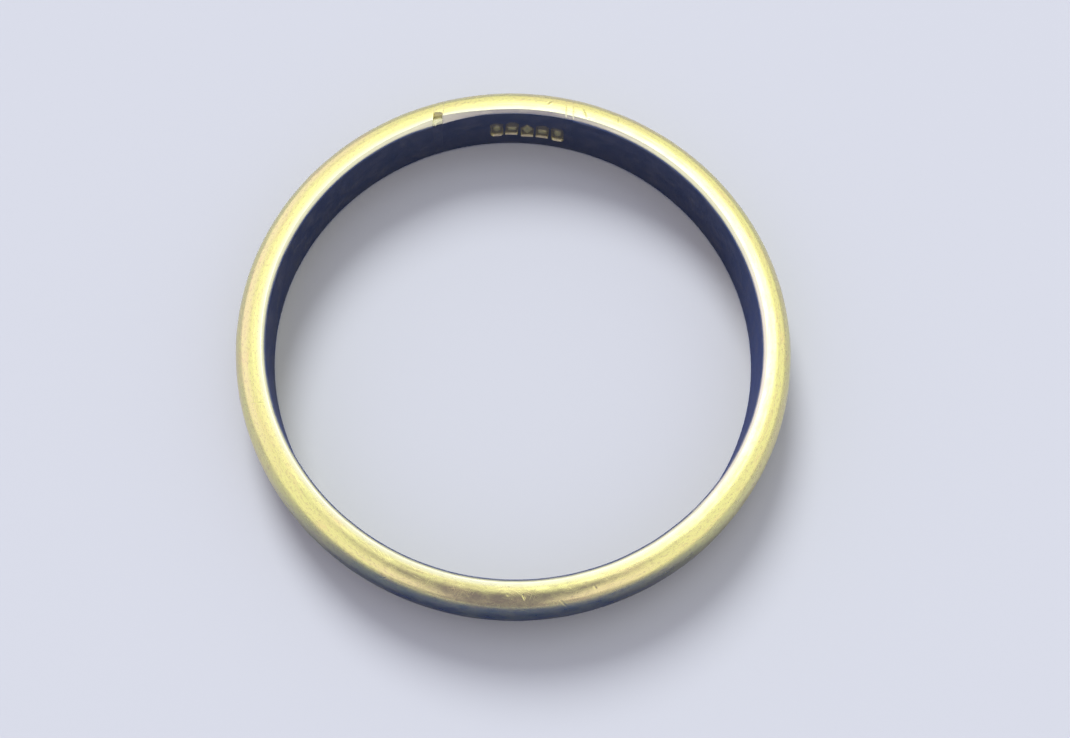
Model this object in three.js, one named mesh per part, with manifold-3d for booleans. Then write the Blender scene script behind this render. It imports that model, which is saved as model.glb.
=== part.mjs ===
// Plain half-round wedding band that has been cut and joined again: a long shank and a short
// hallmarked section, held together end to end by two solder seams.
//
// Millimetres, +Z up. The finger hole's axis is Z, the origin lies on it in the plane of the
// band's lower side, and +Y points to the middle of the hallmark.

import * as THREE from 'three';
import { mergeVertices } from 'three/addons/utils/BufferGeometryUtils.js';
import Module from 'manifold-3d';

const wasm = await Module();
wasm.setup();

// Driving dimensions of the band
const FINGER_DIAMETER = 17.2;
const BAND_WIDTH = 2.4;
const BAND_THICKNESS = 1.13;
const BORE_EDGE_ROUND = 0.15;
const SIDE_LAND = 0.2;
// Exponent of the superellipse that the dome follows: 2 is an ellipse, more is squarer
const DOME_FULLNESS = 2.5;

// The two joints: saw cuts that run parallel to each other, square to X, filled with solder
const LEFT_SEAM_X = -3.29;
const LEFT_SEAM_WIDTH = 0.33;
const RIGHT_SEAM_X = 1.52;
const RIGHT_SEAM_WIDTH = 0.26;

// Solder that never filled the upper inner corner of the left joint
const PIT_RADIUS = 0.4;

// The hallmark: a row of blank punched cartouches in the bore wall
const PUNCH_HEIGHT = 0.9;
const PUNCH_WIDTH = 0.42;
const PUNCH_PITCH = 0.57;
const PUNCH_DEPTH = 0.1;
const PUNCH_CORNER = 0.12;
const ROW_DROP = 0.12;

// Fineness of the facets
const RING_SEGMENTS = 96;
const DOME_SEGMENTS = 14;
const ROUND_SEGMENTS = 3;
const PIT_SEGMENTS = 20;
const ARCH_SEGMENTS = 8;

// Values that follow from the dimensions above
const BORE_RADIUS = FINGER_DIAMETER / 2;
const OUTER_RADIUS = BORE_RADIUS + BAND_THICKNESS;
const MID_HEIGHT = BAND_WIDTH / 2;
const CLEARANCE = 1;

const yellowGold = new THREE.MeshStandardMaterial({ color: 0xe3c878, roughness: 0.25, metalness: 1 });
const goldSolder = new THREE.MeshStandardMaterial({ color: 0xe9d58c, roughness: 0.35, metalness: 1 });

// A closed mesh as a manifold-3d solid
function toSolid(geometry) {
  const bare = geometry.clone();
  bare.deleteAttribute('normal');
  bare.deleteAttribute('uv');
  const merged = mergeVertices(bare, 1e-5);
  return new wasm.Manifold(new wasm.Mesh({
    numProp: 3,
    vertProperties: new Float32Array(merged.attributes.position.array),
    triVerts: new Uint32Array(merged.index.array),
  }));
}

// A manifold-3d solid as a three.js geometry
function toGeometry(solid) {
  const mesh = solid.getMesh();
  const geometry = new THREE.BufferGeometry();
  geometry.setAttribute('position', new THREE.BufferAttribute(mesh.vertProperties, 3));
  geometry.setIndex(new THREE.BufferAttribute(mesh.triVerts, 1));
  geometry.computeVertexNormals();
  return geometry;
}

// A quarter arc of the bore edge's round, from one angle to the next, in radius and height
function roundPoints(centreHeight, startAngle) {
  const points = [];
  for (let i = 0; i <= ROUND_SEGMENTS; i += 1) {
    const angle = startAngle + (Math.PI / 2) * (i / ROUND_SEGMENTS);
    points.push(new THREE.Vector2(
      BORE_RADIUS + BORE_EDGE_ROUND + BORE_EDGE_ROUND * Math.cos(angle),
      centreHeight + BORE_EDGE_ROUND * Math.sin(angle),
    ));
  }
  return points;
}

// A cosine or sine raised to the superellipse's power, with its sign kept
function swell(value) {
  return Math.sign(value) * Math.abs(value) ** (2 / DOME_FULLNESS);
}

// The band's D section: flat bore, rounded bore edges, a flat land on each side and a full dome
function bandProfile() {
  const landOuter = BORE_RADIUS + BORE_EDGE_ROUND + SIDE_LAND;
  const domeDepth = OUTER_RADIUS - landOuter;
  const dome = [];
  for (let i = 0; i <= DOME_SEGMENTS; i += 1) {
    const angle = -Math.PI / 2 + Math.PI * (i / DOME_SEGMENTS);
    const isEnd = i === 0 || i === DOME_SEGMENTS;
    dome.push(new THREE.Vector2(
      landOuter + (isEnd ? 0 : domeDepth * swell(Math.cos(angle))),
      MID_HEIGHT + MID_HEIGHT * swell(Math.sin(angle)),
    ));
  }
  const upperRound = roundPoints(BAND_WIDTH - BORE_EDGE_ROUND, Math.PI / 2);
  const lowerRound = roundPoints(BORE_EDGE_ROUND, Math.PI);
  const outline = [...dome, ...upperRound, ...lowerRound];
  return [...outline, outline[0].clone()];
}

// The whole band before it is cut, turned so that its axis is Z
function wholeBand() {
  const lathe = new THREE.LatheGeometry(bandProfile(), RING_SEGMENTS);
  lathe.rotateX(Math.PI / 2);
  return toSolid(lathe);
}

// A slab square to X that takes in the far wall of the band between two X positions
function farSlab(lowX, highX) {
  const slab = new THREE.BoxGeometry(highX - lowX, OUTER_RADIUS + CLEARANCE, BAND_WIDTH + 2 * CLEARANCE);
  slab.translate((lowX + highX) / 2, (OUTER_RADIUS + CLEARANCE) / 2, MID_HEIGHT);
  return toSolid(slab);
}

// The rounded hollow that the solder leaves open at the upper inner corner of the left joint
function seamPit() {
  const length = LEFT_SEAM_WIDTH + 2 * CLEARANCE;
  const pit = new THREE.CylinderGeometry(PIT_RADIUS, PIT_RADIUS, length, PIT_SEGMENTS);
  pit.rotateZ(Math.PI / 2);
  const cornerY = Math.sqrt(BORE_RADIUS ** 2 - LEFT_SEAM_X ** 2);
  pit.translate(LEFT_SEAM_X, cornerY, BAND_WIDTH);
  return toSolid(pit);
}

// Outlines of the blank punches, each centred on its own middle, flat along the bottom
function clippedOblong() {
  const x = PUNCH_WIDTH / 2;
  const y = PUNCH_HEIGHT / 2;
  const shape = new THREE.Shape();
  shape.moveTo(x - PUNCH_CORNER, -y);
  shape.lineTo(x, -y + PUNCH_CORNER);
  shape.lineTo(x, y - PUNCH_CORNER);
  shape.lineTo(x - PUNCH_CORNER, y);
  shape.lineTo(-x + PUNCH_CORNER, y);
  shape.lineTo(-x, y - PUNCH_CORNER);
  shape.lineTo(-x, -y + PUNCH_CORNER);
  shape.lineTo(-x + PUNCH_CORNER, -y);
  shape.closePath();
  return shape;
}

function gabled() {
  const x = PUNCH_WIDTH / 2;
  const y = PUNCH_HEIGHT / 2;
  const shape = new THREE.Shape();
  shape.moveTo(-x, -y);
  shape.lineTo(x, -y);
  shape.lineTo(x, y - x);
  shape.lineTo(0, y);
  shape.lineTo(-x, y - x);
  shape.closePath();
  return shape;
}

function arched() {
  const x = PUNCH_WIDTH / 2;
  const y = PUNCH_HEIGHT / 2;
  const shape = new THREE.Shape();
  shape.moveTo(-x, -y);
  shape.lineTo(x, -y);
  shape.lineTo(x, y - x);
  shape.absarc(0, y - x, x, 0, Math.PI, false);
  shape.closePath();
  return shape;
}

// One punch, as the solid that it removes: sunk into the bore wall, facing out from the axis
function punchCut(shape, distanceFromMiddle) {
  const reach = PUNCH_DEPTH + CLEARANCE;
  const cut = new THREE.ExtrudeGeometry(shape, {
    depth: reach,
    bevelEnabled: false,
    curveSegments: ARCH_SEGMENTS,
  });
  const angle = Math.PI / 2 - distanceFromMiddle / BORE_RADIUS;
  const outward = new THREE.Vector3(Math.cos(angle), Math.sin(angle), 0);
  const up = new THREE.Vector3(0, 0, 1);
  const along = new THREE.Vector3().crossVectors(up, outward);
  const place = new THREE.Matrix4().makeBasis(along, up, outward);
  const start = outward.clone().multiplyScalar(BORE_RADIUS + PUNCH_DEPTH - reach);
  place.setPosition(start.x, start.y, MID_HEIGHT - ROW_DROP);
  cut.applyMatrix4(place);
  return toSolid(cut);
}

// The row of punches, evenly spaced about +Y and struck a little below mid height
function hallmarkCuts() {
  const outlines = [clippedOblong(), arched(), gabled(), arched(), clippedOblong()];
  const middle = (outlines.length - 1) / 2;
  return outlines.map((shape, i) => punchCut(shape, (i - middle) * PUNCH_PITCH));
}

function namedMesh(name, solid, material) {
  const mesh = new THREE.Mesh(toGeometry(solid), material);
  mesh.name = name;
  return mesh;
}

const leftSeamStart = LEFT_SEAM_X - LEFT_SEAM_WIDTH / 2;
const leftSeamEnd = LEFT_SEAM_X + LEFT_SEAM_WIDTH / 2;
const rightSeamStart = RIGHT_SEAM_X - RIGHT_SEAM_WIDTH / 2;
const rightSeamEnd = RIGHT_SEAM_X + RIGHT_SEAM_WIDTH / 2;

const band = wholeBand();
const shank = band.subtract(farSlab(leftSeamStart, rightSeamEnd));
const leftSeam = band.intersect(farSlab(leftSeamStart, leftSeamEnd)).subtract(seamPit());
const rightSeam = band.intersect(farSlab(rightSeamStart, rightSeamEnd));
let section = band.intersect(farSlab(leftSeamEnd, rightSeamStart));
for (const cut of hallmarkCuts()) {
  section = section.subtract(cut);
}

const ring = new THREE.Group();
ring.add(namedMesh('shank', shank, yellowGold));
ring.add(namedMesh('hallmarked_section', section, yellowGold));
ring.add(namedMesh('solder_seam_left', leftSeam, goldSolder));
ring.add(namedMesh('solder_seam_right', rightSeam, goldSolder));

export default ring;
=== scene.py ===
"""A worn, resized, half-round gold wedding band on a pale floor.

Each piece of the band is a loft: rows run along the band and columns run round its D section.
Lengths are millimetres until a mesh or the camera is made. The lights are placed in metres.
X is to the right, Y away from the camera and Z up, and angles round the band start at plus X.
"""

import math

import bpy
import numpy as np
from mathutils import Matrix, Vector


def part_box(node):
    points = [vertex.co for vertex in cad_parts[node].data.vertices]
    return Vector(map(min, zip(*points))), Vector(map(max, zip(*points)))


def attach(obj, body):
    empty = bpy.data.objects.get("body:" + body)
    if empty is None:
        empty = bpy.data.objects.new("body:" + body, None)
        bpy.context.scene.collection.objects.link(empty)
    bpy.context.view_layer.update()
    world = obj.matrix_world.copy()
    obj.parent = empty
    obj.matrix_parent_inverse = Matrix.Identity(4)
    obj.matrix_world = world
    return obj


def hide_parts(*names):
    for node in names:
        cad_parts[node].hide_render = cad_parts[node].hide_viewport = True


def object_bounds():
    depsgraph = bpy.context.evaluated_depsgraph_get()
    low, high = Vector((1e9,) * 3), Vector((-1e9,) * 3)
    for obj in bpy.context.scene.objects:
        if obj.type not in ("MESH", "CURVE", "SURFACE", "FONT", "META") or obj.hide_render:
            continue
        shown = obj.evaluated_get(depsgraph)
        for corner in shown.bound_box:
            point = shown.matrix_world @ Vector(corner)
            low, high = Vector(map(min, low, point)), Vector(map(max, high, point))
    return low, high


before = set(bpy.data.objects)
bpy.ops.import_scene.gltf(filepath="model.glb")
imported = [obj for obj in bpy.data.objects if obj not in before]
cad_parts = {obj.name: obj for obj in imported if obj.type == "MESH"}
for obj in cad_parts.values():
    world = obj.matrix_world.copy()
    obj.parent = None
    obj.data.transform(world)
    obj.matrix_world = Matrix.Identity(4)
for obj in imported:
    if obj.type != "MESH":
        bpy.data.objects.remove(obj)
cad_low, cad_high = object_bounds()

MM = 0.001

# ---------------------------------------------------------------- sizes, from the frame


def smallest_radius(node):
    """The least distance of a CAD node's vertices from the finger hole's axis, in mm."""
    points = np.array([vertex.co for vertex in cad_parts[node].data.vertices])
    return float(np.hypot(points[:, 0], points[:, 1]).min()) / MM


def cut_span(node):
    """The two X positions, in mm, of the parallel cuts that a node lies between."""
    low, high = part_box(node)
    return low.x / MM, high.x / MM


BAND_WIDTH = (cad_high.z - cad_low.z) / MM
OUTER_RADIUS = (cad_high.x - cad_low.x) / 2 / MM
BORE_RADIUS = smallest_radius("shank")
LEFT_CUTS = cut_span("solder_seam_left")
RIGHT_CUTS = cut_span("solder_seam_right")

# The D section
BORE_EDGE = 0.125
SIDE_LAND = 0.225
DOME_FULLNESS = 2.5
LAND_OUTER = BORE_RADIUS + BORE_EDGE + SIDE_LAND
DOME_DEPTH = OUTER_RADIUS - LAND_OUTER
MID_HEIGHT = BAND_WIDTH / 2
MID_RADIUS = (BORE_RADIUS + OUTER_RADIUS) / 2

# The upper bore edge, worn to a soft bevel, and the filing that widened it at the left joint
WORN_FLATNESS = 0.55
FILED_FLATNESS = 0.95
FILED_EXTRA_RIGHT = 0.09
FILED_REACH_RIGHT = 1.5
FILED_EXTRA_LEFT = 0.04
FILED_REACH_LEFT = 1.0
# painted shade that darkens the filed bevel, carried with the grime
FILED_PAINTED_SHADE = 0.32

# The hallmark's punches
PUNCH_WIDTH = 0.47
PUNCH_HEIGHT = 0.9
PUNCH_PITCH = 0.57
PUNCH_DEPTH = 0.075
PUNCH_CORNER = 0.09
PUNCH_WALL = 0.022
PUNCH_HEEL = 0.35
PUNCH_UNEVENNESS = 0.007
LIP_HEIGHT = 0.003
LIP_OFFSET = 0.03
LIP_WIDTH = 0.028
# painted highlight on the punches' lips
LIP_HIGHLIGHT = 0.10
PUNCH_GRIME = 0.34
PUNCH_STRUCK = 0.6
ROW_ANGLE = 90.0
ROW_HEIGHT = MID_HEIGHT - 0.12

# The plain raised devices in the punches
DEVICE_RELIEF = 0.65
DEVICE_SOFTNESS = 0.05
# painted highlight on the raised devices
DEVICE_HIGHLIGHT = 0.8
DEVICE_GRIME_LOSS = 0.28
DEVICE_STRUCK = 0.4
DISC_RADIUS = 0.12
DISC_STRETCH = 1.5
BAR_HALF_LENGTH = 0.15
BAR_HALF_HEIGHT = 0.10
BAR_DROP = 0.10
DIAMOND_HALF_WIDTH = 0.18
DIAMOND_STRETCH = 1.7
DIAMOND_SLOPE = 1.2

# Scratches and nicks: from and to, each an angle in degrees round the band and a distance across
# its section from the land's outer edge (minus is towards the bore), then width, depth and how much
# dirt it holds
SCRATCHES = [
    ((85.5, 0.09), (84.6, 0.25), 0.032, 0.018, 1.0),
    ((77.3, 0.20), (75.8, -0.16), 0.022, 0.016, 1.0),
    ((75.3, -0.19), (75.2, -0.17), 0.034, 0.018, 1.0),
    ((69.0, 0.33), (68.5, 0.10), 0.022, 0.013, 1.0),
    ((199.7, 0.36), (200.5, -0.02), 0.022, 0.009, 0.0),
    ((200.9, 0.21), (203.0, 0.17), 0.020, 0.005, 0.0),
    ((274.5, 0.17), (275.1, 0.35), 0.026, 0.013, 0.0),
    ((271.4, 0.16), (271.7, 0.20), 0.030, 0.012, 0.0),
    ((282.0, 0.47), (283.3, 0.80), 0.024, 0.012, 0.0),
    ((289.1, 0.27), (289.5, 0.33), 0.030, 0.006, 0.0),
    ((262.5, 0.30), (263.6, 0.34), 0.028, 0.009, 0.0),
    ((247.0, 0.62), (244.6, 0.95), 0.022, 0.008, 0.0),
    ((312.0, 0.55), (315.5, 0.70), 0.018, 0.007, 0.0),
    ((24.0, 0.45), (22.6, 0.90), 0.020, 0.008, 0.4),
    ((150.0, 0.50), (151.8, 0.75), 0.020, 0.007, 0.4),
    ((128.0, 1.60), (131.5, 1.25), 0.024, 0.010, 0.4),
    ((228.0, 1.45), (224.5, 1.75), 0.022, 0.010, 0.0),
    ((340.0, 1.30), (337.0, 1.62), 0.024, 0.011, 0.0),
    ((95.5, 1.20), (98.2, 1.55), 0.020, 0.009, 0.4),
    ((48.0, 1.85), (45.2, 1.70), 0.022, 0.009, 0.4),
]

# ---------------------------------------------------------------- small helpers

SPREAD_SAMPLES = 6001
FINE_FADE = 1.8


def ease(low, high, value):
    """0 below low, 1 above high and smooth between."""
    part = np.clip((value - low) / (high - low), 0.0, 1.0)
    return part * part * (3.0 - 2.0 * part)


def swell(value):
    """A cosine or sine raised to the superellipse's power, with its sign kept."""
    return np.sign(value) * np.abs(value) ** (2.0 / DOME_FULLNESS)


def run_length(first, second):
    """Distance travelled along a polyline, from its first point."""
    steps = np.hypot(np.diff(first), np.diff(second))
    return np.concatenate([[0.0], np.cumsum(steps)])


def spread(start, end, step, fine=()):
    """Places from start to end about one step apart, closer within each (centre, reach, step)."""
    place = np.linspace(start, end, SPREAD_SAMPLES)
    wanted = np.full(place.shape, step)
    for centre, reach, fine_step in fine:
        ramp = ease(reach, FINE_FADE * reach, np.abs(place - centre))
        wanted = np.minimum(wanted, fine_step + (step - fine_step) * ramp)
    density = 1.0 / wanted
    passed = np.concatenate([[0.0], np.cumsum((density[1:] + density[:-1]) / 2)])
    passed *= abs(end - start) / (len(place) - 1)
    count = int(math.ceil(passed[-1])) + 1
    return np.interp(np.linspace(0.0, passed[-1], count), passed, place)


# ---------------------------------------------------------------- the D section

# Columns run from the bottom of the bore over the upper side and back under the lower side
ZONES = ("bore", "upper_edge", "upper_land", "dome", "lower_land", "lower_edge")
WORN_REACH = 0.75
DOME_SAMPLES = 1441
DOME_LENGTH_SAMPLES = 400


def dome_points(fraction):
    """Radius and height at a fraction of the dome's length, from its upper to its lower land."""
    angle = np.linspace(math.pi / 2, -math.pi / 2, DOME_SAMPLES)
    radius = LAND_OUTER + DOME_DEPTH * swell(np.cos(angle))
    height = MID_HEIGHT + MID_HEIGHT * swell(np.sin(angle))
    length = run_length(radius, height)
    place = fraction * length[-1]
    return np.interp(place, length, radius), np.interp(place, length, height)


def columns(steps):
    """Zone and fraction of each column of a loft, from the step in mm wanted in each zone.

    The dome's steps are halved next to its upper land, where most of the wear shows.
    """
    dome_length = run_length(*dome_points(np.linspace(0, 1, DOME_LENGTH_SAMPLES)))[-1]
    edge_length = BORE_EDGE * math.pi / 2
    lengths = (BAND_WIDTH - 2 * BORE_EDGE, edge_length, SIDE_LAND, dome_length, SIDE_LAND, edge_length)
    zone, fraction = [], []
    for index, (length, step) in enumerate(zip(lengths, steps)):
        fine = [(0.0, WORN_REACH, step / 2)] if ZONES[index] == "dome" else []
        places = spread(0.0, length, step, fine)[:-1]
        zone += [index] * len(places)
        fraction += list(places / length)
    return np.array(zone), np.array(fraction)


def section(zone, fraction, upper_edge, flatness):
    """Radius and height of every grid point.

    upper_edge is the upper bore edge's width for each row, and flatness is how far that edge is
    from a quarter round, 0, to a flat bevel, 1.
    """
    rows = len(upper_edge)
    radius = np.empty((rows, len(zone)))
    height = np.empty((rows, len(zone)))
    upper = upper_edge[:, None]
    flat = flatness[:, None]
    for index, name in enumerate(ZONES):
        here = zone == index
        part = fraction[here][None, :]
        turn = part * math.pi / 2
        if name == "bore":
            r = BORE_RADIUS
            z = BORE_EDGE + part * (BAND_WIDTH - BORE_EDGE - upper)
        elif name == "upper_edge":
            r = BORE_RADIUS + upper * ((1 - flat) * (1 - np.cos(turn)) + flat * part)
            z = BAND_WIDTH - upper * ((1 - flat) * (1 - np.sin(turn)) + flat * (1 - part))
        elif name == "upper_land":
            start = BORE_RADIUS + upper
            r = start + part * (LAND_OUTER - start)
            z = BAND_WIDTH
        elif name == "dome":
            r, z = dome_points(part)
        elif name == "lower_land":
            r = LAND_OUTER - part * SIDE_LAND
            z = 0.0
        else:
            r = BORE_RADIUS + BORE_EDGE * (1 - np.sin(turn))
            z = BORE_EDGE * (1 - np.cos(turn))
        radius[:, here] = r
        height[:, here] = z
    return radius, height


def across_places(zone, fraction):
    """Distance of each column from the upper land's outer edge, along the plain section."""
    radius, height = section(zone, fraction, np.array([BORE_EDGE]), np.array([0.0]))
    length = run_length(radius[0], height[0])
    return length - length[np.argmax(zone == ZONES.index("dome"))]


# ---------------------------------------------------------------- one piece's grid of points

# How far a ridge may stand above the upper side, in mm
RIDGE_LIMIT = 0.02

# Where the bore's darker film of tarnish and painted shade fades out, in bore edge widths from a side,
# and where the painted highlight on the edges does, as shares of the land
BORE_FADE = (0.6, 1.9)
LAND_FADE = (0.1, 0.9)


class Loft:
    """The points of one piece, with what the shaping and the materials need to know of each.

    A piece runs between two parallel cuts, given by their X positions. whole_turn is a full turn
    for the piece that goes the long way round, and 0 for the short ones.
    """

    def __init__(self, start_cut, end_cut, whole_turn, row_places, column_steps):
        self.zone, self.fraction = columns(column_steps)
        self.across = across_places(self.zone, self.fraction)[None, :]
        start = math.acos(start_cut / MID_RADIUS)
        end = math.acos(end_cut / MID_RADIUS) - whole_turn
        middle = start + row_places * (end - start)
        upper_edge, flatness = filed_edge(np.degrees(middle))
        self.radius, self.height = section(self.zone, self.fraction, upper_edge, flatness)
        start_angle = np.arccos(start_cut / self.radius)
        end_angle = np.arccos(end_cut / self.radius) - whole_turn
        self.angle = start_angle + row_places[:, None] * (end_angle - start_angle)
        self.degrees = np.degrees(self.angle)
        self.along = self.angle * MID_RADIUS
        self.x = self.radius * np.cos(self.angle)
        forward_r = np.roll(self.radius, -1, 1) - np.roll(self.radius, 1, 1)
        forward_z = np.roll(self.height, -1, 1) - np.roll(self.height, 1, 1)
        size = np.hypot(forward_r, forward_z)
        self.normal_r = -forward_z / size
        self.normal_z = forward_r / size
        self.rise = np.zeros(self.radius.shape)
        filed = (flatness - WORN_FLATNESS) / (FILED_FLATNESS - WORN_FLATNESS)
        # painted shade on the filed bevel, laid into the grime amount
        self.grime_and_shade = FILED_PAINTED_SHADE * filed[:, None] * self.is_zone("upper_edge")
        # painted highlight, where small raised marks are made to glint
        self.painted_highlight = np.zeros(self.radius.shape)
        self.struck = np.zeros(self.radius.shape)

    def is_zone(self, *names):
        """1 for the columns in these zones, 0 for the others."""
        wanted = [ZONES.index(name) for name in names]
        return np.isin(self.zone, wanted)[None, :].astype(float)

    def degrees_from(self, centre):
        """Each point's angle from a direction, in degrees, between -180 and 180."""
        return (self.degrees - centre + 180.0) % 360.0 - 180.0

    def bore_mask(self):
        """1 on the flat bore wall, fading to 0 towards the bore edges."""
        inside = self.is_zone("bore")
        depth = np.minimum(self.height, BAND_WIDTH - self.height)
        start, end = BORE_FADE
        return inside * ease(start * BORE_EDGE, end * BORE_EDGE, depth)

    def edge_mask(self):
        """1 on the bore edges, fading to 0 out across the lands: where the painted highlight and the
        rougher edge go.
        """
        whole = self.is_zone("upper_edge", "lower_edge")
        faded = ease(*LAND_FADE, self.fraction)[None, :]
        upper = self.is_zone("upper_land") * (1 - faded)
        lower = self.is_zone("lower_land") * faded
        return (whole + upper + lower) * np.ones(self.radius.shape)

    def points(self):
        """Every grid point in metres, moved along the surface's normal by its rise."""
        radius = self.radius + self.normal_r * self.rise
        height = np.clip(self.height + self.normal_z * self.rise, 0.0, BAND_WIDTH + RIDGE_LIMIT)
        x = radius * np.cos(self.angle)
        y = radius * np.sin(self.angle)
        return np.stack([x, y, height], axis=-1) * MM


def filed_edge(degrees):
    """Width and flatness of the upper bore edge along the band."""
    left_angle = math.degrees(math.acos(LEFT_CUTS[0] / MID_RADIUS))
    right_angle = math.degrees(math.acos(LEFT_CUTS[1] / MID_RADIUS))
    turned = (degrees - right_angle + 180.0) % 360.0 - 180.0
    to_right = -np.radians(turned) * MID_RADIUS
    to_left = np.radians((degrees - left_angle + 180.0) % 360.0 - 180.0) * MID_RADIUS
    fade_right = np.clip(1.0 - to_right / FILED_REACH_RIGHT, 0.0, 1.0) * (to_right >= 0.0)
    fade_left = np.clip(1.0 - to_left / FILED_REACH_LEFT, 0.0, 1.0) * (to_left >= 0.0)
    between = ((to_right < 0.0) & (to_left < 0.0)).astype(float)
    width = BORE_EDGE + FILED_EXTRA_RIGHT * fade_right + FILED_EXTRA_LEFT * (fade_left + between)
    filed = np.maximum(np.maximum(fade_right, fade_left), between)
    flatness = WORN_FLATNESS + (FILED_FLATNESS - WORN_FLATNESS) * filed
    return width, flatness


# ---------------------------------------------------------------- wear

# Lengths in mm, except the scratches' margin, in radians
WAVE_HEIGHT = 0.0016
WAVE_CYCLES_ALONG = (3, 46)
WAVE_CYCLES_ACROSS = (-2, 3)
WAVE_SIZES = (0.4, 1.0)
WAVE_FALLOFF = 14
LAND_FLATNESS = 0.7

DENT_REACH = (0.05, 0.22)
DENT_DEPTH = (0.0012, 0.0042)
DENT_STRETCH = (0.6, 2.2)
TYPICAL_DENT_REACH = 0.15

# A scratch's ridges and tapered ends, as shares of its own depth and width
SCRATCH_END_DEPTH = 0.35
RIDGE_HEIGHT = 0.35
RIDGE_OFFSET = 1.9
RIDGE_WIDTH = 0.8
DIRT_PER_DEPTH = 32.0

SCRATCH_MARGIN = 0.006

GROOVE_REACH = 0.02
WIRE_GROOVE_DEPTH = 0.010
SOLDER_GROOVE_DEPTH = 0.008
GROOVE_WORN_IN_BORE = 0.7


def add_waviness(loft, seed=7, waves=26):
    """Slow unevenness of a hand-finished, worn surface. It runs on from piece to piece."""
    random = np.random.default_rng(seed)
    turn = loft.angle
    cross = 2 * math.pi * loft.across / (2 * (BAND_WIDTH + OUTER_RADIUS - BORE_RADIUS))
    total = np.zeros(loft.radius.shape)
    for _ in range(waves):
        cycles_along = random.integers(*WAVE_CYCLES_ALONG)
        cycles_across = random.integers(*WAVE_CYCLES_ACROSS)
        phase = random.uniform(0, 2 * math.pi)
        height = random.uniform(*WAVE_SIZES) / (1 + cycles_along / WAVE_FALLOFF)
        total += height * np.sin(cycles_along * turn + cycles_across * cross + phase)
    loft.rise += WAVE_HEIGHT * total * (1 - LAND_FLATNESS * loft.is_zone("lower_land", "upper_land"))


def add_dents(loft, seed=11, count=420):
    """Shallow knocks all over the band."""
    random = np.random.default_rng(seed)
    perimeter = float(loft.across.max() - loft.across.min())
    for _ in range(count):
        centre = random.uniform(0, 360)
        place = loft.across.min() + random.uniform(0, 1) * perimeter
        reach = random.uniform(*DENT_REACH)
        depth = random.uniform(*DENT_DEPTH) * (reach / TYPICAL_DENT_REACH)
        stretch = random.uniform(*DENT_STRETCH)
        along = np.radians(loft.degrees_from(centre)) * MID_RADIUS / stretch
        near = np.abs(along[:, 0]) < 3 * reach
        if near.any():
            square = along[near] ** 2 + (loft.across - place) ** 2
            loft.rise[near] -= depth * np.exp(-square / reach**2)


def add_scratch(loft, start, end, width, depth, dirt):
    """One sunk line with a faint ridge of pushed-up metal round it, and a painted highlight along the
    ridge.
    """
    along = np.radians(loft.degrees_from(start[0])) * MID_RADIUS
    reach = math.radians(end[0] - start[0]) * MID_RADIUS
    climb = end[1] - start[1]
    length = math.hypot(reach, climb)
    part = (along * reach + (loft.across - start[1]) * climb) / length**2
    held = np.clip(part, 0.0, 1.0)
    away = np.hypot(along - held * reach, loft.across - start[1] - held * climb)
    taper = SCRATCH_END_DEPTH + (1 - SCRATCH_END_DEPTH) * np.sin(math.pi * held)
    trough = np.exp(-((away / width) ** 2))
    ridge = np.exp(-(((away - RIDGE_OFFSET * width) / (RIDGE_WIDTH * width)) ** 2))
    loft.rise += depth * taper * (RIDGE_HEIGHT * ridge - trough)
    loft.grime_and_shade = np.maximum(loft.grime_and_shade, DIRT_PER_DEPTH * dirt * depth * taper * trough)
    # painted highlight along the ridges
    loft.painted_highlight = np.maximum(loft.painted_highlight, taper * ridge)


def scratch_windows():
    """The angles, in radians, where the long shank's rows lie closer, to hold its scratches."""
    windows = []
    for start, end, *_ in SCRATCHES:
        centre = math.radians((start[0] + end[0]) / 2)
        half = abs(math.radians(end[0] - start[0])) / 2 + SCRATCH_MARGIN
        windows.append((centre, half))
    return windows


def soften_ends(loft, cuts, depth):
    """A fine groove where a piece meets the solder, fainter in the worn bore."""
    far_side = loft.angle % (2 * math.pi) < math.pi
    worn = 1 - GROOVE_WORN_IN_BORE * loft.is_zone("bore")
    for cut in cuts:
        loft.rise -= depth * worn * far_side * np.exp(-(((loft.x - cut) / GROOVE_REACH) ** 2))


# ---------------------------------------------------------------- the hallmark


def clipped_oblong(x, y):
    """Signed distance to an oblong with clipped corners."""
    half_x, half_y = PUNCH_WIDTH / 2, PUNCH_HEIGHT / 2
    sides = np.maximum(np.abs(x) - half_x, np.abs(y) - half_y)
    corners = (np.abs(x) + np.abs(y) - (half_x + half_y - PUNCH_CORNER)) / math.sqrt(2)
    return np.maximum(sides, corners)


def arched(x, y):
    """Signed distance to an oblong with a round top."""
    half_x, half_y = PUNCH_WIDTH / 2, PUNCH_HEIGHT / 2
    spring = half_y - half_x
    top = np.hypot(x, y - spring) - half_x
    lower = np.maximum(np.abs(x) - half_x, -y - half_y)
    return np.where(y > spring, top, lower)


def gabled(x, y):
    """Signed distance to an oblong with a pointed top."""
    half_x, half_y = PUNCH_WIDTH / 2, PUNCH_HEIGHT / 2
    slope = (np.abs(x) + y - half_y) / math.sqrt(2)
    return np.maximum(np.maximum(np.abs(x) - half_x, -y - half_y), slope)


def disc(x, y):
    """A plain round boss in the middle of a punch."""
    return np.hypot(x, y / DISC_STRETCH) - DISC_RADIUS


def bar(x, y):
    """A plain level bar across a punch."""
    return np.maximum(np.abs(x) - BAR_HALF_LENGTH, np.abs(y + BAR_DROP) - BAR_HALF_HEIGHT)


def diamond(x, y):
    """A plain diamond in the middle of a punch."""
    return (np.abs(x) + np.abs(y) / DIAMOND_STRETCH - DIAMOND_HALF_WIDTH) / DIAMOND_SLOPE


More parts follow.
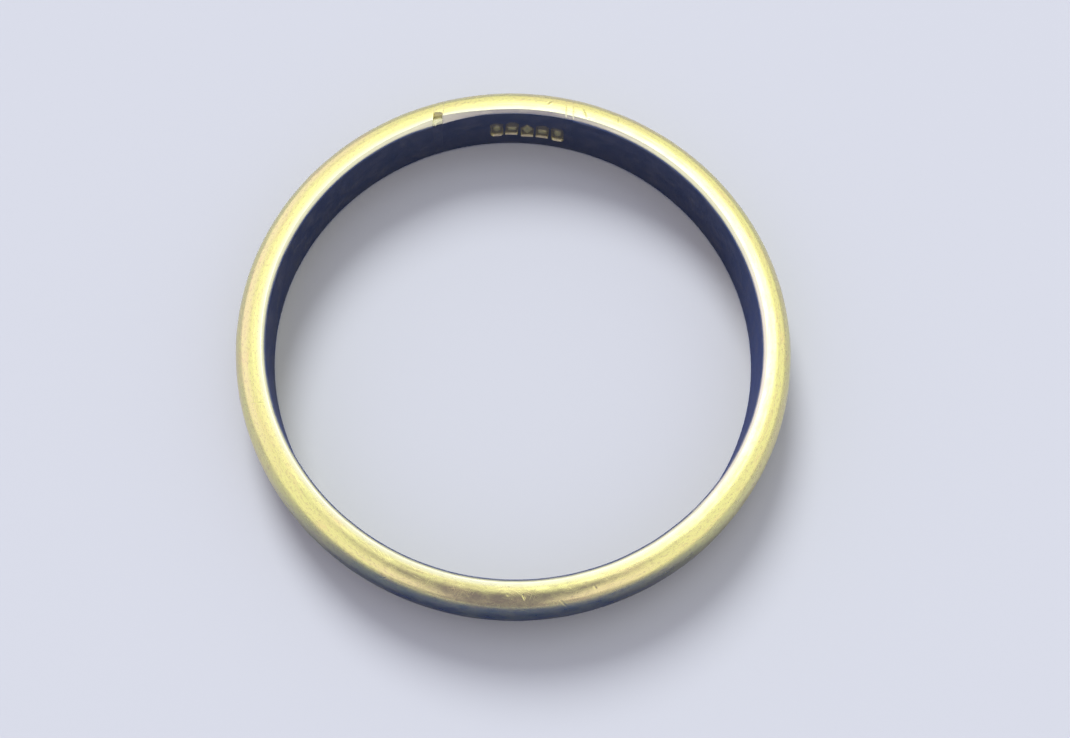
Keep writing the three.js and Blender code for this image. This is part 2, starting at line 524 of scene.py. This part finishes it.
# Outline, raised device, tilt in degrees, lift in mm and strength of each strike
PUNCHES = [
    (clipped_oblong, disc, 2.0, 0.02, 1.0),
    (arched, bar, -3.0, 0.10, 0.85),
    (gabled, diamond, 1.5, -0.02, 1.0),
    (arched, bar, -1.0, 0.00, 0.9),
    (clipped_oblong, disc, 4.0, -0.07, 1.0),
]


def strike_hallmark(loft):
    """A row of punches with plain devices, struck unevenly into the bore wall."""
    on_wall = loft.is_zone("bore")
    to_right = -np.radians(loft.degrees_from(ROW_ANGLE)) * BORE_RADIUS
    for index, (outline, device, tilt, lift, strength) in enumerate(PUNCHES):
        x = to_right - (index - (len(PUNCHES) - 1) / 2) * PUNCH_PITCH
        y = loft.height - ROW_HEIGHT - lift
        turn = math.radians(tilt)
        cosine, sine = math.cos(turn), math.sin(turn)
        x, y = x * cosine + y * sine, y * cosine - x * sine
        edge = outline(x, y)
        sunk = 1.0 - ease(-PUNCH_WALL, 0.0, edge)
        boss = 1.0 - ease(-DEVICE_SOFTNESS, DEVICE_SOFTNESS, device(x, y))
        lip = np.exp(-(((edge - LIP_OFFSET) / LIP_WIDTH) ** 2))
        depth = PUNCH_DEPTH * strength * (1.0 - PUNCH_HEEL * y)
        uneven = PUNCH_UNEVENNESS * np.sin(x * 47 + y * 31) * np.sin(y * 53 - x * 29 + index)
        carved = uneven * sunk - depth * (sunk - DEVICE_RELIEF * boss * sunk)
        loft.rise += on_wall * (LIP_HEIGHT * lip + carved)
        grime_and_shade = sunk * (PUNCH_GRIME - DEVICE_GRIME_LOSS * boss)
        # painted highlight on the lips and the raised devices
        painted_highlight = LIP_HIGHLIGHT * lip + DEVICE_HIGHLIGHT * boss * sunk
        struck = sunk * (PUNCH_STRUCK + DEVICE_STRUCK * boss)
        loft.grime_and_shade = np.maximum(loft.grime_and_shade, on_wall * grime_and_shade)
        loft.painted_highlight = np.maximum(loft.painted_highlight, on_wall * painted_highlight)
        loft.struck = np.maximum(loft.struck, on_wall * struck)


# ---------------------------------------------------------------- the open pit in the left joint

FLOOR_DROP = 0.10
CREVICE_DROP = 0.17
CREVICE_AT = BORE_RADIUS + 0.29
CREVICE_SLANT = 0.06
CREVICE_WIDTH = 0.09
CREVICE_DIRT_OFFSET = 0.015
CREVICE_DIRT_WIDTH = 0.028
PIT_OUTER = BORE_RADIUS + 0.54
PIT_SLANT = 0.18
PIT_STEEPENING = 2.4
PIT_UNEVENNESS = 0.006
PIT_RIM_DROP = 0.05
PIT_GRIME = 0.06
CREVICE_GRIME = 0.7
BURR_ALONG = 0.09
BURR_BELOW = 0.02
BURR_REACH = 0.045
BURR_HEIGHT = 0.075
BURR_ZONE = BORE_RADIUS + 0.1


def sink_pit(loft):
    """Solder that stops short of the upper inner corner: a floor, a crevice, a slope and a burr.

    The crevice and the outer edge both lie nearer to the bore at the pit's right end.
    """
    span = LEFT_CUTS[1] - LEFT_CUTS[0]
    part = np.clip((loft.x - LEFT_CUTS[0]) / span, 0.0, 1.0)
    outer = PIT_OUTER - PIT_SLANT * part
    crevice = CREVICE_AT - CREVICE_SLANT * part
    on_top = loft.is_zone("upper_edge", "upper_land", "dome") * (loft.height > MID_HEIGHT)
    towards_crevice = ease(crevice - CREVICE_WIDTH, crevice, loft.radius)
    sinking = FLOOR_DROP + (CREVICE_DROP - FLOOR_DROP) * towards_crevice
    rising = np.clip((outer - loft.radius) / (outer - crevice), 0.0, 1.0) ** PIT_STEEPENING
    drop = sinking * rising
    sunk = on_top * ease(0.0, PIT_RIM_DROP, drop)
    across_waves = np.sin(loft.x * 31 + loft.radius * 23)
    along_waves = np.sin(loft.radius * 37 - loft.x * 19)
    uneven = PIT_UNEVENNESS * across_waves * along_waves
    lowered = np.minimum(loft.height, BAND_WIDTH - drop + uneven * sunk)
    loft.height = np.where(sunk > 0, lowered, loft.height)
    shortened = np.minimum(loft.height, BAND_WIDTH - FLOOR_DROP)
    loft.height = np.where(loft.is_zone("bore") > 0, shortened, loft.height)
    from_dirt = loft.radius - crevice - CREVICE_DIRT_OFFSET
    dark = np.exp(-((from_dirt / CREVICE_DIRT_WIDTH) ** 2))
    loft.grime_and_shade = np.maximum(loft.grime_and_shade, sunk * (PIT_GRIME + CREVICE_GRIME * dark))
    loft.struck = np.maximum(loft.struck, sunk)
    burr_x = loft.x - LEFT_CUTS[0] - BURR_ALONG
    burr_z = loft.height - BAND_WIDTH + FLOOR_DROP + BURR_BELOW
    from_burr = np.hypot(burr_x, burr_z)
    inside = loft.is_zone("bore", "upper_edge") * (loft.radius < BURR_ZONE)
    burr = inside * np.exp(-((from_burr / BURR_REACH) ** 2))
    loft.radius = loft.radius - BURR_HEIGHT * burr
    # painted highlight on the burr
    loft.painted_highlight = np.maximum(loft.painted_highlight, burr)


# ---------------------------------------------------------------- meshes


def make_piece(name, loft, material):
    """A closed mesh from a loft: quads between its rows and one flat cap at each end."""
    points = loft.points()
    rows, cols = points.shape[:2]
    number = np.arange(rows * cols).reshape(rows, cols)
    after = np.roll(number, -1, axis=1)
    quads = np.stack([number[:-1], number[1:], after[1:], after[:-1]], axis=-1).reshape(-1, 4)
    caps = [number[0].tolist(), number[-1][::-1].tolist()]
    mesh = bpy.data.meshes.new(name)
    mesh.from_pydata(points.reshape(-1, 3).tolist(), [], quads.tolist() + caps)
    mesh.update()
    flip_if_inside_out(mesh)
    smooth = [True] * len(quads) + [False] * len(caps)
    mesh.polygons.foreach_set("use_smooth", smooth)
    sharpen_cap_rims(mesh, rows, cols)
    store(mesh, "along", loft.along)
    store(mesh, "across", np.broadcast_to(loft.across, loft.radius.shape))
    # grime in scratches, punches and the pit, and painted shade on the filed bevel
    store(mesh, "grime_and_shade", loft.grime_and_shade)
    store(mesh, "painted_highlight", loft.painted_highlight)
    store(mesh, "struck", loft.struck)
    store(mesh, "inside", loft.bore_mask())
    store(mesh, "edge", loft.edge_mask())
    mesh.materials.append(material)
    piece = bpy.data.objects.new(name, mesh)
    bpy.context.scene.collection.objects.link(piece)
    return piece


def flip_if_inside_out(mesh):
    """Turns every face round if the mesh's signed volume is negative."""
    mesh.calc_loop_triangles()
    count = len(mesh.loop_triangles)
    corners = np.empty(count * 3, np.int32)
    mesh.loop_triangles.foreach_get("vertices", corners)
    places = np.empty(len(mesh.vertices) * 3)
    mesh.vertices.foreach_get("co", places)
    triangles = places.reshape(-1, 3)[corners.reshape(-1, 3)]
    volume = np.einsum("ij,ij->i", triangles[:, 0], np.cross(triangles[:, 1], triangles[:, 2])).sum()
    if volume < 0:
        mesh.flip_normals()


def sharpen_cap_rims(mesh, rows, cols):
    """Keeps the smooth sides from shading into the flat end caps."""
    ends = np.empty(len(mesh.edges) * 2, np.int32)
    mesh.edges.foreach_get("vertices", ends)
    row = ends.reshape(-1, 2) // cols
    on_rim = (row[:, 0] == row[:, 1]) & ((row[:, 0] == 0) | (row[:, 0] == rows - 1))
    sharp = mesh.attributes.new("sharp_edge", "BOOLEAN", "EDGE")
    sharp.data.foreach_set("value", on_rim)


def store(mesh, name, values):
    """Keeps a number for each vertex, for the materials to read."""
    attribute = mesh.attributes.new(name, "FLOAT", "POINT")
    attribute.data.foreach_set("value", np.ascontiguousarray(values, dtype=np.float32).ravel())


# ---------------------------------------------------------------- materials


class Graph:
    """Short calls that add nodes to one node tree."""

    def __init__(self, tree):
        self.tree = tree

    def node(self, kind, inputs=(), **settings):
        made = self.tree.nodes.new(kind)
        for key, value in settings.items():
            setattr(made, key, value)
        for key, value in dict(inputs).items():
            self.feed(made.inputs[key], value)
        return made

    def feed(self, socket, value):
        if isinstance(value, bpy.types.NodeSocket):
            self.tree.links.new(value, socket)
        else:
            socket.default_value = value

    def math(self, operation, first, second=0.0, clamp=False):
        inputs = {0: first, 1: second}
        made = self.node("ShaderNodeMath", inputs, operation=operation, use_clamp=clamp)
        return made.outputs[0]

    def plus(self, first, second):
        return self.math("ADD", first, second)

    def times(self, first, second):
        return self.math("MULTIPLY", first, second)

    def mix(self, amount, first, second):
        inputs = {0: amount, 6: first, 7: second}
        return self.node("ShaderNodeMix", inputs, data_type="RGBA").outputs[2]

    def remap(self, value, low, high, to_low=0.0, to_high=1.0):
        """A smooth step from to_low, at low, to to_high, at high."""
        inputs = {"Value": value, "From Min": low, "From Max": high}
        inputs.update({"To Min": to_low, "To Max": to_high})
        return self.node("ShaderNodeMapRange", inputs, interpolation_type="SMOOTHSTEP").outputs[0]


class Shader(Graph):
    """A material's nodes, with the band's own surface measures to place its textures."""

    def __init__(self, name):
        self.material = bpy.data.materials.new(name)
        self.material.use_nodes = True
        super().__init__(self.material.node_tree)
        self.surface = self.tree.nodes["Principled BSDF"]

    def attribute(self, name):
        return self.node("ShaderNodeAttribute", attribute_name=name).outputs["Fac"]

    def on_surface(self, along_scale, across_scale, turn=0.0, shift=0.0):
        """A texture position from the band's own along and across distances."""
        along = self.attribute("along")
        across = self.attribute("across")
        cosine, sine = math.cos(turn), math.sin(turn)
        forward = self.plus(self.times(along, cosine), self.times(across, sine))
        side = self.math("SUBTRACT", self.times(across, cosine), self.times(along, sine))
        inputs = {
            "X": self.times(forward, along_scale),
            "Y": self.times(side, across_scale),
            "Z": shift,
        }
        return self.node("ShaderNodeCombineXYZ", inputs).outputs[0]

    def noise(self, position, detail, roughness=0.5):
        inputs = {"Vector": position, "Scale": 1.0, "Detail": detail, "Roughness": roughness}
        return self.node("ShaderNodeTexNoise", inputs).outputs["Fac"]

    def texture(self, along_scale, across_scale, shift, detail, roughness):
        """Noise that lies along the band's own surface."""
        position = self.on_surface(along_scale, across_scale, 0.0, shift)
        return self.noise(position, detail, roughness)


# Sets of hairlines: direction in degrees, lines per mm, length in mm, amount and texture shift
HAIRLINES = [
    (6, 40.0, 1.3, 0.14, 11.0),
    (-19, 44.0, 0.5, 0.05, 17.0),
    (58, 48.0, 0.5, 0.05, 23.0),
    (-66, 42.0, 0.5, 0.05, 31.0),
    (31, 50.0, 0.5, 0.05, 41.0),
]
LINE_START = 0.60
LINE_FULL = 0.68
PATCH_ALONG = 1.1
PATCH_ACROSS = 1.6
PATCH_SHIFT = 9.0
PATCH_START = 0.62
PATCH_FULL = 0.70


def hairlines(shader, direction, fineness, length, amount, shift):
    """Thin scratches that all run one way, broken up into short lengths."""
    turn = math.radians(direction)
    line = shader.noise(shader.on_surface(1.0 / length, fineness, turn, shift), 1.0)
    thin = shader.remap(line, LINE_START, LINE_FULL)
    place = shader.on_surface(PATCH_ALONG, PATCH_ACROSS, turn, shift + PATCH_SHIFT)
    patch = shader.noise(place, 2.0)
    where = shader.remap(patch, PATCH_START - amount, PATCH_FULL - amount)
    return shader.times(thin, where)


# Tones laid over the alloy: the bore edges and the inner part of the lands are painted paler, a
# painted highlight, and the worn dome more orange and duller
PAINTED_EDGE_HIGHLIGHT = (0.89, 0.90, 0.66, 1.0)
ORANGE = (0.93, 0.70, 0.36, 1.0)
WORN_TONE = (0.68, 0.59, 0.29, 1.0)

# How strongly each tone or deposit covers the alloy
ORANGE_COVER = 0.55
WORN_COVER = 0.7
PITS_COVER = 0.22
# how strongly the painted highlight covers the alloy
HIGHLIGHT_COVER = 0.6
# how strongly the edges' painted highlight covers the alloy
EDGE_HIGHLIGHT_COVER = 0.8

# What each kind of wear adds to the roughness
BORE_ROUGHNESS = 0.14
EDGE_ROUGHNESS = 0.12
DOME_ROUGHNESS = 0.12
GRIME_ROUGHNESS = 0.22
STRUCK_ROUGHNESS = 0.30
LINES_ROUGHNESS = 0.10

# Shares of each texture in the fine relief, and the height in mm that a share of 1 stands for
BRUSHING_RELIEF = 0.30
LINES_RELIEF = 0.30
PITS_RELIEF = 0.8
CLOUD_RELIEF = 0.6
GRAIN_RELIEF = 0.4
RELIEF_HEIGHT = 0.0016

# Textures: cycles per mm along and across the band, shift, detail and roughness of the noise
HAZE = (0.35, 0.9, 3.0, 4.0, 0.6)
CLOUD = (1.4, 2.6, 5.0, 3.0, 0.6)
BRUSHING = (0.5, 34.0, 1.0, 3.0, 0.65)
SPECK = (15.0, 15.0, 51.0, 1.0, 0.5)
TINT = (0.9, 3.2, 71.0, 4.0, 0.65)
GRAIN = (6.0, 13.0, 61.0, 3.0, 0.7)

# Noise values between which each layer fades in, then its amounts at both where they aren't 0 and 1
HAZE_FADE = (0.35, 0.7)
TINT_FADE = (0.50, 0.75)
GRAIN_FADE = (0.46, 0.70)
PITS_FADE = (0.70, 0.76)
FILM_FADE = (0.2, 0.75, 0.72, 1.0)
CAKED_FADE = (0.25, 0.6, 0.6, 1.0)
ROUGH_FADE = (0.3, 0.7)

# The smoothest and roughest patches, against the alloy's own roughness
SMOOTH_PATCH = -0.05
ROUGH_PATCH = 0.07

# Distances in mm from the upper land between which the dome grows rougher
DOME_FADE = (0.30, 0.80)


def worn_metal(name, bright, warm, bore_tarnish_and_shade, dirt, base_roughness):
    """Polished gold alloy after years of wear: hairlines, brushing, grain, pits, haze and dirt, with
    painted highlights on the edges and raised marks and painted shade on the bore and the filed bevel.
    """
    shader = Shader(name)
    inside = shader.attribute("inside")
    grime_and_shade = shader.attribute("grime_and_shade")
    painted_highlight = shader.attribute("painted_highlight")

    haze = shader.texture(*HAZE)
    cloud = shader.texture(*CLOUD)
    brushing = shader.texture(*BRUSHING)
    lines = hairlines(shader, *HAIRLINES[0])
    for settings in HAIRLINES[1:]:
        lines = shader.math("MAXIMUM", lines, hairlines(shader, *settings))
    pits = shader.remap(shader.texture(*SPECK), *PITS_FADE)

    colour = shader.mix(shader.remap(haze, *HAZE_FADE), bright, warm)
    tint = shader.texture(*TINT)
    reddened = shader.times(shader.remap(tint, *TINT_FADE), ORANGE_COVER)
    colour = shader.mix(reddened, colour, ORANGE)
    grain = shader.texture(*GRAIN)
    worn = shader.times(shader.remap(grain, *GRAIN_FADE), WORN_COVER)
    colour = shader.mix(worn, colour, WORN_TONE)
    # a darker film over the bore wall: partly tarnish, partly painted shade of the inner wall
    bore_film_and_shade = shader.times(inside, shader.remap(cloud, *FILM_FADE))
    colour = shader.mix(bore_film_and_shade, colour, bore_tarnish_and_shade)
    # the dirt colour where there is grime in scratches, punches and the pit, and painted shade on the
    # filed bevel
    caked_and_shade = shader.times(grime_and_shade, shader.remap(cloud, *CAKED_FADE))
    deposit_and_shade = shader.math("MAXIMUM", caked_and_shade, shader.times(pits, PITS_COVER))
    colour = shader.mix(deposit_and_shade, colour, dirt)
    # painted highlight: ridges, punch lips, devices and the burr turn to the bright alloy
    colour = shader.mix(shader.times(painted_highlight, HIGHLIGHT_COVER), colour, bright)
    edge = shader.attribute("edge")
    # painted highlight: the bore edges and the inner part of the lands turn paler
    colour = shader.mix(shader.times(edge, EDGE_HIGHLIGHT_COVER), colour, PAINTED_EDGE_HIGHLIGHT)
    shader.feed(shader.surface.inputs["Base Color"], colour)

    smoothest = base_roughness + SMOOTH_PATCH
    roughest = base_roughness + ROUGH_PATCH
    rough = shader.remap(cloud, *ROUGH_FADE, smoothest, roughest)
    rough = shader.plus(rough, shader.times(inside, BORE_ROUGHNESS))
    rough = shader.plus(rough, shader.times(edge, EDGE_ROUGHNESS))
    across = shader.attribute("across")
    rough = shader.plus(rough, shader.remap(across, *DOME_FADE, 0.0, DOME_ROUGHNESS))
    rough = shader.plus(rough, shader.times(grime_and_shade, GRIME_ROUGHNESS))
    rough = shader.plus(rough, shader.times(shader.attribute("struck"), STRUCK_ROUGHNESS))
    rough = shader.math("ADD", rough, shader.times(lines, LINES_ROUGHNESS), clamp=True)
    shader.feed(shader.surface.inputs["Roughness"], rough)

    relief = shader.times(brushing, BRUSHING_RELIEF)
    relief = shader.math("SUBTRACT", relief, shader.times(lines, LINES_RELIEF))
    relief = shader.math("SUBTRACT", relief, shader.times(pits, PITS_RELIEF))
    relief = shader.plus(relief, shader.times(cloud, CLOUD_RELIEF))
    relief = shader.plus(relief, shader.times(grain, GRAIN_RELIEF))
    inputs = {"Height": relief, "Strength": 1.0, "Distance": RELIEF_HEIGHT * MM}
    bump = shader.node("ShaderNodeBump", inputs)
    shader.feed(shader.surface.inputs["Normal"], bump.outputs[0])

    shader.surface.inputs["Metallic"].default_value = 1.0
    return shader.material


GOLD = worn_metal(
    "worn_yellow_gold",
    bright=(0.905, 0.880, 0.34, 1.0),
    warm=(0.905, 0.825, 0.35, 1.0),
    # the bore wall's tone: tarnish, darkened further as painted shade
    bore_tarnish_and_shade=(0.62, 0.57, 0.34, 1.0),
    dirt=(0.09, 0.075, 0.045, 1.0),
    base_roughness=0.20,
)
SOLDER = worn_metal(
    "gold_solder",
    bright=(0.905, 0.880, 0.36, 1.0),
    warm=(0.905, 0.825, 0.36, 1.0),
    # the bore wall's tone: tarnish, darkened further as painted shade
    bore_tarnish_and_shade=(0.62, 0.57, 0.34, 1.0),
    dirt=(0.12, 0.095, 0.05, 1.0),
    base_roughness=0.21,
)

# ---------------------------------------------------------------- the four pieces

# Steps in mm between a loft's columns, zone by zone in the order of ZONES
FINE_COLUMNS = (0.016, 0.016, 0.018, 0.036, 0.04, 0.04)
PLAIN_COLUMNS = (0.12, 0.030, 0.030, 0.056, 0.06, 0.05)

# Steps between rows: by angle in radians on the shank, by X in mm on the short section, and by
# share of its width on a seam
SHANK_STEP = 0.0120
SHANK_END_STEP = 0.0016
SHANK_END_REACH = 0.010
SCRATCH_STEP = 0.0026
SECTION_STEP = 0.020
SECTION_END_STEP = 0.009
SECTION_END_REACH = 0.04
SEAM_STEP = 0.04
SEAM_END_STEP = 0.02
SEAM_END_REACH = 0.1


def wear(loft):
    """What years of wear did to every piece alike."""
    add_waviness(loft)
    add_dents(loft)
    for scratch in SCRATCHES:
        add_scratch(loft, *scratch)


def build_shank():
    """The long arc of wire, from the right joint the long way round to the left one."""
    start = math.acos(RIGHT_CUTS[1] / MID_RADIUS)
    end = math.acos(LEFT_CUTS[0] / MID_RADIUS) - 2 * math.pi
    length = start - end
    fine = [(cut, SHANK_END_REACH, SHANK_END_STEP) for cut in (start, end)]
    for centre, reach in scratch_windows():
        for turn in (0.0, 2 * math.pi):
            if end < centre - turn < start:
                fine.append((centre - turn, reach, SCRATCH_STEP))
    places = spread(start, end, SHANK_STEP, fine)
    rows = (start - places) / length
    loft = Loft(RIGHT_CUTS[1], LEFT_CUTS[0], 2 * math.pi, rows, PLAIN_COLUMNS)
    wear(loft)
    soften_ends(loft, (LEFT_CUTS[0], RIGHT_CUTS[1]), WIRE_GROOVE_DEPTH)
    return make_piece("worn_shank", loft, GOLD)


def build_section():
    """The short arc of wire between the two joints, with the hallmark in its bore."""
    start, end = RIGHT_CUTS[0], LEFT_CUTS[1]
    length = start - end
    fine = [(cut, SECTION_END_REACH, SECTION_END_STEP) for cut in (start, end)]
    places = spread(start, end, SECTION_STEP, fine)
    loft = Loft(start, end, 0.0, (start - places) / length, FINE_COLUMNS)
    wear(loft)
    strike_hallmark(loft)
    soften_ends(loft, (LEFT_CUTS[1], RIGHT_CUTS[0]), WIRE_GROOVE_DEPTH)
    return make_piece("struck_section", loft, GOLD)


def build_seam(name, cuts, shape=None):
    """The solder in one joint. shape is a function that carves it further."""
    fine = [(end, SEAM_END_REACH, SEAM_END_STEP) for end in (0.0, 1.0)]
    rows = spread(0.0, 1.0, SEAM_STEP, fine)
    loft = Loft(cuts[1], cuts[0], 0.0, rows, FINE_COLUMNS)
    wear(loft)
    soften_ends(loft, cuts, SOLDER_GROOVE_DEPTH)
    if shape:
        shape(loft)
    return make_piece(name, loft, SOLDER)


PIECES = {
    "shank": (build_shank(), "yellow_gold"),
    "hallmarked_section": (build_section(), "yellow_gold"),
    "solder_seam_left": (build_seam("left_solder_fill", LEFT_CUTS, sink_pit), "gold_solder"),
    "solder_seam_right": (build_seam("right_solder_fill", RIGHT_CUTS), "gold_solder"),
}
for node, (piece, slot) in PIECES.items():
    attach(piece, "root")
    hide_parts(node)

# ---------------------------------------------------------------- floor, light and camera


FLOOR_RADIUS = 2000.0
FLOOR_SIDES = 128
FLOOR_ROUGHNESS = 0.9
FLOOR_SPECULAR = 0.2
FLOOR_PALE = (0.42, 0.44, 0.47, 1.0)
# painted reflection: what glossy rays see on the floor, dark blue for painted shade near the band
FLOOR_PAINTED_REFLECTION_DARK = (0.030, 0.052, 0.23, 1.0)
FLOOR_PAINTED_REFLECTION_MILD = (0.34, 0.35, 0.46, 1.0)

# Where the floor's painted reflection turns from dark, a painted shade, to mild: radii in mm, and the
# cosine of the angle from the near side
RIM_INSIDE = OUTER_RADIUS - 0.6
RIM_OUTSIDE = OUTER_RADIUS + 0.4
DARK_NEARNESS = 0.98
MILD_NEARNESS = 0.42
DISTANT_START = 14.0
DISTANT_END = 40.0
DISTANT_MILDNESS = 0.7


def make_floor():
    """A plain pale disc, far wider than the view.

    Glossy rays meet another colour on it, a painted reflection: dark blue within the band and on the
    near side, where shade falls, and milder elsewhere.
    """
    mesh = bpy.data.meshes.new("floor")
    around = [2 * math.pi * side / FLOOR_SIDES for side in range(FLOOR_SIDES)]
    reach = FLOOR_RADIUS * MM
    points = [(reach * math.cos(turn), reach * math.sin(turn), 0.0) for turn in around]
    mesh.from_pydata(points, [], [list(range(len(points)))])
    shader = Shader("pale_floor_painted_reflection")
    place = shader.node("ShaderNodeNewGeometry").outputs["Position"]
    part = shader.node("ShaderNodeSeparateXYZ", {0: place}).outputs
    length = shader.node("ShaderNodeVectorMath", {0: place}, operation="LENGTH")
    radius = length.outputs["Value"]
    nearness = shader.math("DIVIDE", shader.times(part["Y"], -1.0), radius)
    outside = shader.remap(radius, RIM_INSIDE * MM, RIM_OUTSIDE * MM)
    mild = shader.times(outside, shader.remap(nearness, DARK_NEARNESS, MILD_NEARNESS))
    distant = shader.remap(radius, DISTANT_START * MM, DISTANT_END * MM, 0.0, DISTANT_MILDNESS)
    mild = shader.math("MAXIMUM", mild, distant)
    painted_reflection = shader.mix(mild, FLOOR_PAINTED_REFLECTION_DARK, FLOOR_PAINTED_REFLECTION_MILD)
    # painted reflection: glossy rays see these colours instead of the pale floor
    glossy = shader.node("ShaderNodeLightPath").outputs["Is Glossy Ray"]
    shader.feed(shader.surface.inputs["Base Color"], shader.mix(glossy, FLOOR_PALE, painted_reflection))
    shader.surface.inputs["Roughness"].default_value = FLOOR_ROUGHNESS
    shader.surface.inputs["Specular IOR Level"].default_value = FLOOR_SPECULAR
    mesh.materials.append(shader.material)
    floor = bpy.data.objects.new("floor", mesh)
    bpy.context.scene.collection.objects.link(floor)


def make_sun(name, direction, angle, strength):
    """A distant soft light for the floor and its shadows, which the polished gold doesn't mirror."""
    light = bpy.data.lights.new(name, "SUN")
    light.angle = math.radians(angle)
    light.energy = strength
    lamp = bpy.data.objects.new(name, light)
    bpy.context.scene.collection.objects.link(lamp)
    lamp.rotation_euler = Vector(direction).to_track_quat("Z", "Y").to_euler()
    lamp.visible_glossy = False


def make_softbox(name, direction, distance, size, radiance, colour):
    """A square area light that faces the band, with its radiance given for white light."""
    light = bpy.data.lights.new(name, "AREA")
    light.shape = "SQUARE"
    light.size = size
    light.energy = radiance * math.pi * size * size
    light.color = colour
    lamp = bpy.data.objects.new(name, light)
    bpy.context.scene.collection.objects.link(lamp)
    lamp.location = Vector(direction).normalized() * distance
    lamp.rotation_euler = Vector(direction).to_track_quat("Z", "Y").to_euler()


# Radiances of the tent round the band, and the plain colour that the camera sees instead
SKY = (0.97, 0.96, 0.98, 1.0)
LOW_SKY = (0.50, 0.50, 0.64, 1.0)
GLOW = (1.25, 1.25, 1.30, 1.0)
PINK_GLOW = (1.08, 0.97, 1.35, 1.0)
SHADE = (0.22, 0.20, 0.40, 1.0)
WARM_GLOW = (1.00, 0.90, 1.18, 1.0)
BACKDROP = (0.62, 0.65, 0.69, 1.0)

# Heights, as sines of the elevation, between which the tent turns from LOW_SKY to SKY
LOW_SKY_END = 0.03
SKY_START = 0.26

# Coloured parts of the tent: direction, cosines of their faded rim and full middle, and colour
GLOWS = [
    ((-0.84, 0.45, 0.30), 0.72, 0.97, PINK_GLOW),
    ((0.05, 0.40, 0.91), 0.88, 0.985, GLOW),
    ((0.0, -0.85, 0.52), 0.70, 0.96, WARM_GLOW),
]

# Keeps the chart of directions that make_world describes within bounds straight down
LEAST_LIFT = 0.05

# The dark flag, measured on that chart
FLAG_CLEAR_SIDE = 0.17
FLAG_DARK_SIDE = 0.08
FLAG_TAPER = 0.06
FLAG_CLEAR_BACK = 0.21
FLAG_DARK_BACK = -0.12

# The shade low on the near side, on the same chart, and the heights where it fades in
SHADE_CLEAR_BACK = -0.60
SHADE_DARK_BACK = -0.76
SHADE_LOW = 0.02
SHADE_FULL = 0.20


def make_world():
    """A bright tent of light with a dark flag over the near side, from overhead to the horizon.

    A direction's place on the chart is its X and Y over 1 + Z: 0 straight up, and 1 away from
    that at the horizon. Back is plus and the near side is minus.
    """
    world = bpy.data.worlds.new("studio")
    world.use_nodes = True
    bpy.context.scene.world = world
    graph = Graph(world.node_tree)
    graph.tree.nodes.clear()
    ray = graph.node("ShaderNodeTexCoord").outputs["Generated"]
    part = graph.node("ShaderNodeSeparateXYZ", {0: ray}).outputs
    lift = graph.math("MAXIMUM", graph.plus(part["Z"], 1.0), LEAST_LIFT)
    side = graph.math("ABSOLUTE", graph.math("DIVIDE", part["X"], lift))
    back = graph.math("DIVIDE", part["Y"], lift)

    sky = graph.mix(graph.remap(part["Z"], LOW_SKY_END, SKY_START), LOW_SKY, SKY)
    for direction, rim, middle, colour in GLOWS:
        inputs = {0: ray, 1: Vector(direction).normalized()}
        dot = graph.node("ShaderNodeVectorMath", inputs, operation="DOT_PRODUCT")
        amount = graph.remap(dot.outputs["Value"], rim, middle)
        sky = graph.mix(amount, sky, colour)
    widened = graph.plus(side, graph.times(back, FLAG_TAPER))
    narrow = graph.remap(widened, FLAG_CLEAR_SIDE, FLAG_DARK_SIDE)
    flag = graph.times(narrow, graph.remap(back, FLAG_CLEAR_BACK, FLAG_DARK_BACK))
    near = graph.remap(back, SHADE_CLEAR_BACK, SHADE_DARK_BACK)
    shaded = graph.times(near, graph.remap(part["Z"], SHADE_LOW, SHADE_FULL))
    sky = graph.mix(graph.math("MAXIMUM", flag, shaded), sky, SHADE)
    lit = graph.node("ShaderNodeBackground", {"Color": sky})
    plain = graph.node("ShaderNodeBackground", {"Color": BACKDROP})
    seen = graph.node("ShaderNodeLightPath").outputs["Is Camera Ray"]
    joined = graph.node("ShaderNodeMixShader", {0: seen, 1: lit.outputs[0], 2: plain.outputs[0]})
    graph.node("ShaderNodeOutputWorld", {0: joined.outputs[0]})


# Angles in degrees, lengths in mm. The distance is from the middle of the band's upper side.
CAMERA_ELEVATION = 69.0
CAMERA_DISTANCE = 44.9
CAMERA_ROLL = -3.3
CAMERA_PAN = 0.95
CAMERA_TILT = 1.64
CAMERA_LENS = 43.7383
SENSOR_WIDTH = 36.0


def make_camera():
    """A camera on the near side that looks down at the band's upper side."""
    data = bpy.data.cameras.new("camera")
    data.sensor_width = SENSOR_WIDTH
    data.lens = CAMERA_LENS
    data.clip_start = 1.0 * MM
    data.clip_end = 10.0
    camera = bpy.data.objects.new("camera", data)
    bpy.context.scene.collection.objects.link(camera)
    elevation = math.radians(CAMERA_ELEVATION)
    back = Vector((0.0, -math.cos(elevation), math.sin(elevation)))
    place = back * CAMERA_DISTANCE * MM + Vector((0.0, 0.0, cad_high.z))
    pitch = Matrix.Rotation(math.radians(90.0 - CAMERA_ELEVATION - CAMERA_TILT), 4, "X")
    pan = Matrix.Rotation(math.radians(-CAMERA_PAN), 4, "Y")
    roll = Matrix.Rotation(math.radians(-CAMERA_ROLL), 4, "Z")
    camera.matrix_world = Matrix.Translation(place) @ pitch @ pan @ roll
    bpy.context.scene.camera = camera


make_floor()
make_world()
make_softbox(
    "key",
    direction=(0.15, 0.37, 0.91),
    distance=0.32,
    size=0.125,
    radiance=1.25,
    colour=(0.95, 0.95, 1.0),
)
make_sun("shadow_key", direction=(-0.25, 0.72, 0.65), angle=24.0, strength=3.6)
make_camera()
bpy.context.scene.view_settings.view_transform = "Standard"
